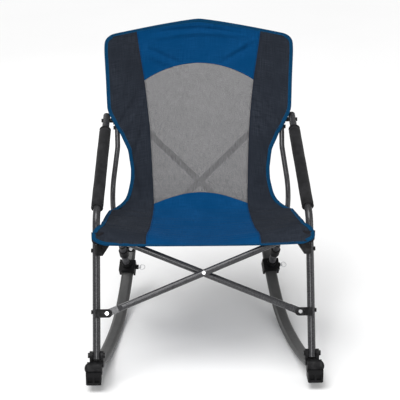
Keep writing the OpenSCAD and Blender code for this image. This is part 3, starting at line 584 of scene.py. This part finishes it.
def make_panels():
    """The five panels, each under the tape by 2 mm: name to (object, flat size)."""
    under = 2
    head, foot = BINDING - under, SLING_END - BINDING + under

    def even(value):
        return lambda w: value + 0 * w

    def left_seam(s):
        return -seam_x(s)

    def outer(s):
        return half_width(s) - BINDING + under

    def left_outer(s):
        return -outer(s)

    # name, upper and lower edge, left and right edge, rows and columns, thickness, look
    top, bottom = even(head), even(foot)
    specs = [
        ("top_panel", (top, mesh_top), (left_seam, seam_x), (60, 150), 1.6, "blue_fabric"),
        ("mesh_panel", (mesh_top, mesh_low), (left_seam, seam_x), (120, 110), 1.0, "mesh"),
        ("seat_panel", (mesh_low, bottom), (left_seam, seam_x), (150, 120), 1.6, "blue_fabric"),
        ("side_panel_right", (top, bottom), (seam_x, outer), (320, 44), 2.0, "charcoal_fabric"),
        ("side_panel_left", (top, bottom), (left_outer, left_seam), (320, 44), 2.0, "charcoal_fabric"),
    ]
    made = {}
    for name, s_edges, x_edges, cells, thick, look in specs:
        s, x = panel_grid(*s_edges, *x_edges, *cells)
        obj = cloth_panel("sling_" + name, s, x, thick * MM, look)
        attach(obj, "left_frame")
        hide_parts(name)
        squash_with_fold(obj)
        made[name] = (obj, flat_size(s, x))
    return made


def outline():
    """The sling's outline as a closed list of (s, x), every few millimetres."""
    s = np.linspace(0, SLING_END, 300)
    top = np.linspace(-1, 1, 120)[1:-1]
    right = np.stack([s, half_width(s)], -1)
    front = np.stack([np.full(top.size, SLING_END), -top * half_width(SLING_END)], -1)
    left = np.stack([s[::-1], -half_width(s[::-1])], -1)
    head = np.stack([np.zeros(top.size), top * half_width(0)], -1)
    return np.concatenate([right, front, left, head])


def make_binding():
    """Folded tape round the whole edge: a flat oval section with its fold at the rim."""
    wide, thick, overhang, sides = 11.5 * MM, 1.9 * MM, 0.8 * MM, 16
    rim = outline()
    points = sling(rim[:, 0], rim[:, 1])
    normal = sling_normal(rim[:, 0], rim[:, 1])
    lift = relief(rim[:, 0], rim[:, 1]) * MM
    points = points + normal * lift[:, None]
    for _ in range(3):
        points = (np.roll(points, 1, 0) + 2 * points + np.roll(points, -1, 0)) / 4
    ahead = np.roll(points, -1, 0) - np.roll(points, 1, 0)
    ahead /= np.linalg.norm(ahead, axis=1, keepdims=True)
    inward = np.cross(normal, ahead)
    inward /= np.linalg.norm(inward, axis=1, keepdims=True)
    middle = sling(np.array([SLING_END / 2]), np.array([0.0]))[0]
    towards = np.sum(inward * (middle - points), axis=1, keepdims=True)
    inward = inward * np.sign(towards[len(points) // 4])
    run = np.concatenate([[0], np.cumsum(np.linalg.norm(np.diff(points, axis=0), axis=1))])
    # A pucker every few stitches
    pucker = 1 + 0.05 * np.sin(run / 0.0065) + 0.04 * np.sin(run / 0.031 + 1)
    ring = []
    for angle in np.linspace(0, TURN, sides + 1)[:-1]:
        out = wide * (0.5 - 0.5 * np.cos(angle)) - overhang
        up = thick * np.sin(angle) * (0.65 + 0.35 * np.cos(angle / 2) ** 2)
        ring.append(points + inward * out + normal * (up * pucker)[:, None])
    grid = np.stack(ring, 1)
    grid = np.concatenate([grid, grid[:1]])
    cloth = np.stack(np.meshgrid(np.linspace(0, 24, sides), np.append(run, run[-1]) / MM), -1)
    obj = grid_object("sling_binding", grid, cloth, "binding_tape", closed=True)
    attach(obj, "left_frame")
    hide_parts("binding")
    squash_with_fold(obj)
    return obj


def stitch_line(name, s, x, look, lift=1.1):
    """A row of stitches along (s, x): short rounded threads lying on the cloth."""
    pitch, length, radius, around = 3.4, 2.4, 0.42, 5
    line = sling(s, x) + sling_normal(s, x) * ((relief(s, x) + lift) * MM)[:, None]
    normal = sling_normal(s, x)
    run = np.concatenate([[0], np.cumsum(np.linalg.norm(np.diff(line, axis=0), axis=1))])
    starts = np.arange(pitch * MM, run[-1] - pitch * MM, pitch * MM)
    verts, faces = [], []
    shares = (0.0, 0.25, 0.75, 1.0)
    sizes = (0.35, 1.0, 1.0, 0.35)
    for start in starts:
        base = len(verts)
        at = start + np.array(shares) * length * MM
        centre = np.stack([np.interp(at, run, line[:, k]) for k in range(3)], -1)
        up = np.array([np.interp(start, run, normal[:, k]) for k in range(3)])
        ahead = centre[-1] - centre[0]
        side = np.cross(up, ahead)
        side /= np.linalg.norm(side)
        for point, size in zip(centre, sizes):
            for k in range(around):
                angle = k * TURN / around
                offset = math.cos(angle) * side + math.sin(angle) * up
                verts.append(point + offset * radius * size * MM)
        for ring in range(len(shares) - 1):
            for k in range(around):
                a = base + ring * around + k
                b = base + ring * around + (k + 1) % around
                faces.append((a, b, b + around, a + around))
        last = base + (len(shares) - 1) * around
        faces.append(tuple(base + k for k in reversed(range(around))))
        faces.append(tuple(last + k for k in range(around)))
    mesh = bpy.data.meshes.new(name)
    mesh.from_pydata([tuple(v) for v in verts], [], faces)
    mesh.polygons.foreach_set("use_smooth", [True] * len(mesh.polygons))
    mesh.materials.append(LOOKS[look])
    obj = bpy.data.objects.new(name, mesh)
    bpy.context.scene.collection.objects.link(obj)
    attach(obj, "left_frame")
    squash_with_fold(obj)
    return obj


TAPE_STITCH = 9.2       # the tape's stitches lie this far inside the rim
TAPE_LIFT = 2.2


def tape_stitches(name, s, x):
    return stitch_line(f"binding_stitches_{name}", s, x, "thread_blue", lift=TAPE_LIFT)


def make_stitching():
    """Every row of stitches, listed under the panel it is sewn to."""
    rows = {}
    s = np.linspace(14, SLING_END - 14, 400)
    for side in (LEFT, RIGHT):
        name = SIDE_NAME[side]
        seams = []
        for k, offset in enumerate((-3.0, 3.5)):
            x = side * (seam_x(s) + offset)
            row = f"seam_stitches_{name}_{k}"
            seams.append(stitch_line(row, s, x, "thread_dark"))
        edge = tape_stitches(name, s, side * (half_width(s) - TAPE_STITCH))
        rows[f"side_panel_{name}"] = seams + [edge]
    w = np.linspace(0.01, 0.99, 200)
    for panel, arc, offset, row in (
        ("top_panel", mesh_top, -3, TAPE_STITCH),
        ("seat_panel", mesh_low, 3, SLING_END - TAPE_STITCH),
    ):
        s = arc(w) + offset
        x = (2 * w - 1) * seam_x(s)
        across = np.linspace(-0.95, 0.95, 300) * half_width(row)
        rows[panel] = [
            stitch_line(f"mesh_stitches_{panel}", s, x, "thread_blue"),
            tape_stitches(panel, row + 0 * across, across),
        ]
    return rows


def declare_sling(panels, stitches, binding):
    """Adds the tape to the top panel's list of stitches."""
    stitches["top_panel"].append(binding)


def axis_frame(low, high):
    """Unit directions: from low to high, and two across that."""
    ahead = (high - low).normalized()
    side = ahead.cross(Vector((0, 0, 1))).normalized()
    up = side.cross(ahead)
    return ahead, side, up


def revolve(name, low, high, profile, look, wobble):
    """A round soft piece: profile is (distance along, radius), in metres."""
    around = 48
    ahead, side, up = axis_frame(low, high)
    rows = []
    for distance, radius in profile:
        row = []
        for k in range(around):
            angle = TURN * k / around
            r = radius + wobble(distance, angle)
            out = side * math.cos(angle) + up * math.sin(angle)
            row.append(tuple(low + ahead * distance + out * r))
        rows.append(row)
    girth = TURN * profile[1][1] / MM
    cloth = np.meshgrid(np.arange(around) * girth / around, [p[0] / MM for p in profile])
    return grid_object(name, np.array(rows), np.stack(cloth, -1), look, closed=True)


def node_ends(name):
    """The two ends of a straight round node's axis, the lower one first."""
    points = np.array([v.co for v in NODES[name].data.vertices])
    middle = points.mean(0)
    ahead = np.linalg.svd(points - middle)[2][0]
    ahead = ahead * np.sign(ahead[2])
    reach = (points - middle) @ ahead
    centre = middle - ahead * ((points - middle) @ ahead).mean()
    low, high = centre + ahead * reach.min(), centre + ahead * reach.max()
    return Vector(low), Vector(high)


def make_foam(side):
    """Foam sleeve on the arm, with rounded ends and slightly uneven sides."""
    node = f"arm_foam_{SIDE_NAME[side]}"
    low, high = node_ends(node)
    length = (high - low).length
    radius, bore, soft = 17.8 * MM, 11.05 * MM, 5 * MM
    mouth = [(1.5 * MM, bore), (0.0, bore + 1.2 * MM)]
    rounding = []
    for k in range(7):
        angle = k / 6 * TURN / 4
        rounding.append((soft * (1 - math.sin(angle)), radius - soft + soft * (1 - math.cos(angle))))
    head = mouth + sorted(rounding)
    body = [(soft + (length - 2 * soft) * k / 60, radius) for k in range(1, 60)]
    tail = [(length - d, r) for d, r in head][::-1]

    def wobble(distance, angle):
        wave = math.sin(distance * 55 + 2 * math.cos(angle))
        return 0.25 * MM * wave * math.sin(angle * 2 + distance * 20)

    obj = revolve(f"foam_sleeve_{SIDE_NAME[side]}", low, high, head + body + tail, "foam", wobble)
    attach(obj, f"{SIDE_NAME[side]}_frame")
    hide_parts(node)


def make_sleeve(side):
    """Fabric pocket over the upright's top, with a hem and slack."""
    node = f"upright_sleeve_{SIDE_NAME[side]}"
    low, high = node_ends(node)
    length = (high - low).length
    radius = 10.7 * MM
    hem = radius + 0.8 * MM
    hem_end = 10.5 * MM
    profile = [(0.0, hem - 1.2 * MM), (0.2 * MM, hem), (9 * MM, hem), (hem_end, radius)]
    profile += [(hem_end + (length - 16 * MM) * k / 70, radius) for k in range(1, 71)]
    profile += [(length - 3 * MM, radius - 1.2 * MM), (length - 0.8 * MM, radius - 4 * MM)]
    profile += [(length, 0.6 * MM)]

    def wobble(distance, angle):
        folds = math.sin(distance * 120 + 1.5 * math.sin(angle)) * math.sin(angle + distance * 30)
        return 0.35 * MM * folds if 12 * MM < distance < length - 6 * MM else 0

    obj = revolve(f"upright_pocket_{SIDE_NAME[side]}", low, high, profile, "pocket_fabric", wobble)
    thicken(obj, 0.8 * MM)
    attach(obj, f"{SIDE_NAME[side]}_frame")
    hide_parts(node)


def make_corner_pocket(side):
    """Pocket under the seat's front corner: a bulged cup of cloth in front of the leg."""
    node = f"corner_pocket_{SIDE_NAME[side]}"
    low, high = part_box(node)
    rows, cols = 26, 30
    u = np.linspace(0, 1, rows)[:, None]
    w = np.linspace(0, 1, cols)[None, :]
    # Down the front, from under the binding to a rounded lower edge
    x_in, x_out = (low.x, high.x) if side > 0 else (high.x, low.x)
    x = x_in + (x_out - x_in) * w + 0 * u
    droop = 1 - (2 * w - 1) ** 4
    z = high.z + 8 * MM - (high.z - low.z) * u * (0.75 + 0.25 * droop)
    bulge = np.sin(math.pi * np.clip(w, 0, 1)) ** 0.7 * np.sin(math.pi * np.clip(u * 0.8 + 0.2, 0, 1))
    y = low.y + (10 + 6 * u - 6 * bulge + 0.8 * np.sin(9 * w + 5 * u)) * MM
    points = np.stack([x, y, z + 0 * w], -1)
    cloth = np.stack(np.meshgrid(np.linspace(0, 34, cols), np.linspace(0, 42, rows)), -1)
    obj = grid_object(f"seat_corner_pocket_{SIDE_NAME[side]}", points, cloth, "pocket_fabric")
    thicken(obj, 1.4 * MM)
    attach(obj, f"{SIDE_NAME[side]}_frame")
    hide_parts(node)


def make_strap(side):
    """Webbing under the seat's edge, with a slight sag and a crowned face."""
    tall, sag, crown = 20 * MM, 4 * MM, 0.7 * MM
    node = f"seat_strap_{SIDE_NAME[side]}"
    low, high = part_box(node)
    # The strap runs from its outboard front end to its inboard rear end
    front_x, rear_x = (high.x, low.x) if side > 0 else (low.x, high.x)
    rows, cols = 90, 14
    u = np.linspace(0, 1, rows)[:, None]
    w = np.linspace(0, 1, cols)[None, :]
    x = front_x + (rear_x - front_x) * u + crown * np.sin(w * math.pi) - side * MM
    y = low.y + (high.y - low.y) * u + 0 * w
    fall = high.z - low.z - tall
    z = high.z - fall * u - tall * w - sag * np.sin(math.pi * u)
    points = np.stack([x, y, z], -1)
    cloth = np.stack(np.meshgrid(np.linspace(0, 20, cols), np.linspace(0, 270, rows)), -1)
    obj = grid_object(f"webbing_strap_{SIDE_NAME[side]}", points, cloth, "webbing")
    thicken(obj, 1.6 * MM)
    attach(obj, f"{SIDE_NAME[side]}_frame")
    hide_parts(node)


LOOKS = make_materials()
make_camera()
make_studio()
dress_cad_nodes()
declare_sling(make_panels(), make_stitching(), make_binding())
for side in (LEFT, RIGHT):
    make_foam(side)
    make_sleeve(side)
    make_corner_pocket(side)
    make_strap(side)
